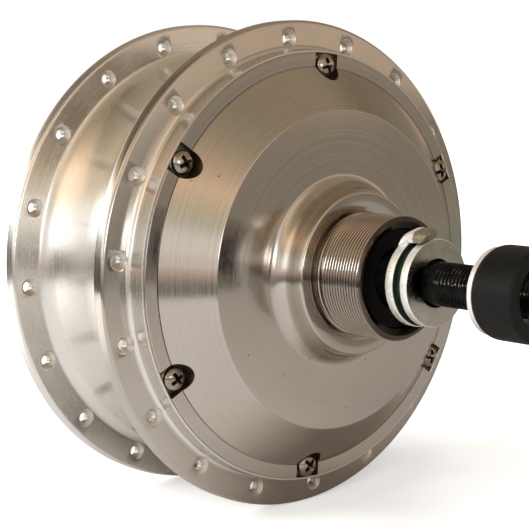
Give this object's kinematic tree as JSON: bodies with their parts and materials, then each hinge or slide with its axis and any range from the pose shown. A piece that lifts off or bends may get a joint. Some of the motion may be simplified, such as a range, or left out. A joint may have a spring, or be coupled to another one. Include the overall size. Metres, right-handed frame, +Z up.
{
  "type": "e-bike hub motor",
  "caption": "Geared rear hub motor with two spoke flanges, a coned drive side cover with a freewheel thread, and a long flatted axle with nuts and washers.",
  "frame": {"origin": "on the axle, midway between the two dropout faces", "axes": "+Y along the axle from the freewheel side to the brake disc side, +Z up, +X to the right when looking along +Y"},
  "size_m": [0.1434, 0.22, 0.1434],
  "materials": {
    "shell_aluminium": "turned and polished, faint lathe rings",
    "cover_aluminium": "finely turned, satin",
    "screw_steel": "dark plated",
    "gear_steel": "machined",
    "bearing_steel": "ground",
    "ball_steel": "polished",
    "seal_rubber": "matte",
    "axle_black": "black oxide, oiled",
    "spacer_green": "dark green, glossy",
    "washer_zinc": "zinc plated, mottled",
    "washer_steel": "pressed, dull face and bright rim",
    "cap_rubber": "matte, slightly worn",
    "nylon": "moulded",
    "magnet": "nickel plated",
    "rotor_steel": "turned",
    "core_steel": "coated laminations",
    "copper": "varnished wire",
    "support_aluminium": "die cast",
    "board": "printed board"
  },
  "bodies": {
    "axle": {"axle": "axle_black", "axle_sleeve": "gear_steel", "inner_spacer": "gear_steel", "axle_circlips": "gear_steel", "clutch_key": "bearing_steel", "clutch_inner_race": "bearing_steel", "drive_bearing_inner": "bearing_steel", "drive_bearing_balls": "ball_steel", "left_bearing_inner": "bearing_steel", "left_bearing_balls": "ball_steel", "rotor_bearing_inner": "bearing_steel", "rotor_bearing_balls": "ball_steel", "stator_support": "support_aluminium", "stator_core": "core_steel", "stator_windings": "copper", "hall_board": "board", "drive_tab_washer": "washer_zinc", "left_tab_washer": "washer_zinc"},
    "carrier": {"planet_carrier": "rotor_steel", "clutch_outer_ring": "gear_steel", "clutch_rollers": "ball_steel", "planet_pins": "bearing_steel", "pin_circlips": "gear_steel", "planet_bearing_inners": "bearing_steel", "planet_bearing_balls": "ball_steel"},
    "hub": {"hub_shell": "shell_aluminium", "drive_cover": "cover_aluminium", "cover_screws": "screw_steel", "spring_washers": "screw_steel", "ring_gear": "gear_steel", "ring_gear_pins": "bearing_steel", "drive_bearing_outer": "bearing_steel", "drive_seal": "seal_rubber", "left_bearing_outer": "bearing_steel", "left_seal": "seal_rubber"},
    "planet_1": {"planet_gear_1": "nylon", "planet_bearing_outer_1": "bearing_steel"},
    "planet_2": {"planet_gear_2": "nylon", "planet_bearing_outer_2": "bearing_steel"},
    "planet_3": {"planet_gear_3": "nylon", "planet_bearing_outer_3": "bearing_steel"},
    "rotor": {"rotor_drum": "rotor_steel", "rotor_magnets": "magnet", "sun_gear": "gear_steel", "rotor_bearing_outer": "bearing_steel"},
    "drive_washers": {"drive_spacer": "spacer_green", "drive_washer": "washer_steel"},
    "drive_collar": {"drive_nut_collar": "washer_steel"},
    "drive_nut": {"drive_nut": "axle_black", "drive_nut_cap": "cap_rubber"},
    "left_washers": {"left_spacer": "spacer_green", "left_washer": "washer_steel"},
    "left_collar": {"left_nut_collar": "washer_steel"},
    "left_nut": {"left_nut": "axle_black", "left_nut_cap": "cap_rubber"}
  },
  "joints": [
    {"name": "clutch_overrun", "type": "hinge", "parent": "axle", "child": "carrier", "pos_m": [0, 0, 0], "axis": [0, 1, 0], "continuous": true},
    {"name": "hub_spin", "type": "hinge", "parent": "carrier", "child": "hub", "pos_m": [0, 0, 0], "axis": [0, 1, 0], "continuous": true},
    {"name": "planet_1_spin", "type": "hinge", "parent": "carrier", "child": "planet_1", "pos_m": [0, 0, 0.0285], "axis": [0, 1, 0], "continuous": true},
    {"name": "planet_2_spin", "type": "hinge", "parent": "carrier", "child": "planet_2", "pos_m": [0.02468, 0, -0.01425], "axis": [0, 1, 0], "continuous": true},
    {"name": "planet_3_spin", "type": "hinge", "parent": "carrier", "child": "planet_3", "pos_m": [-0.02468, 0, -0.01425], "axis": [0, 1, 0], "continuous": true},
    {"name": "rotor_spin", "type": "hinge", "parent": "carrier", "child": "rotor", "pos_m": [0, 0, 0], "axis": [0, 1, 0], "continuous": true},
    {"name": "drive_washer_slide", "type": "slide", "parent": "axle", "child": "drive_washers", "axis": [0, 1, 0], "range_m": [-0.02, 0]},
    {"name": "drive_nut_travel", "type": "slide", "parent": "axle", "child": "drive_collar", "axis": [0, 1, 0], "range_m": [0, 0.0201]},
    {"name": "drive_nut_turn", "type": "hinge", "parent": "drive_collar", "child": "drive_nut", "pos_m": [0, 0, 0], "axis": [0, 1, 0], "range_deg": [0, 5760]},
    {"name": "left_washer_slide", "type": "slide", "parent": "axle", "child": "left_washers", "axis": [0, -1, 0], "range_m": [-0.02, 0]},
    {"name": "left_nut_travel", "type": "slide", "parent": "axle", "child": "left_collar", "axis": [0, -1, 0], "range_m": [0, 0.0201]},
    {"name": "left_nut_turn", "type": "hinge", "parent": "left_collar", "child": "left_nut", "pos_m": [0, 0, 0], "axis": [0, -1, 0], "range_deg": [0, 5760]}
  ],
  "couplings": [
    {"joint": "planet_1_spin", "follows": "hub_spin", "ratio": 2.5833},
    {"joint": "planet_2_spin", "follows": "hub_spin", "ratio": 2.5833},
    {"joint": "planet_3_spin", "follows": "hub_spin", "ratio": 2.5833},
    {"joint": "rotor_spin", "follows": "hub_spin", "ratio": -4.4286},
    {"joint": "drive_nut_travel", "follows": "drive_nut_turn", "m_per_rad": 0.00019894},
    {"joint": "left_nut_travel", "follows": "left_nut_turn", "m_per_rad": 0.00019894}
  ]
}
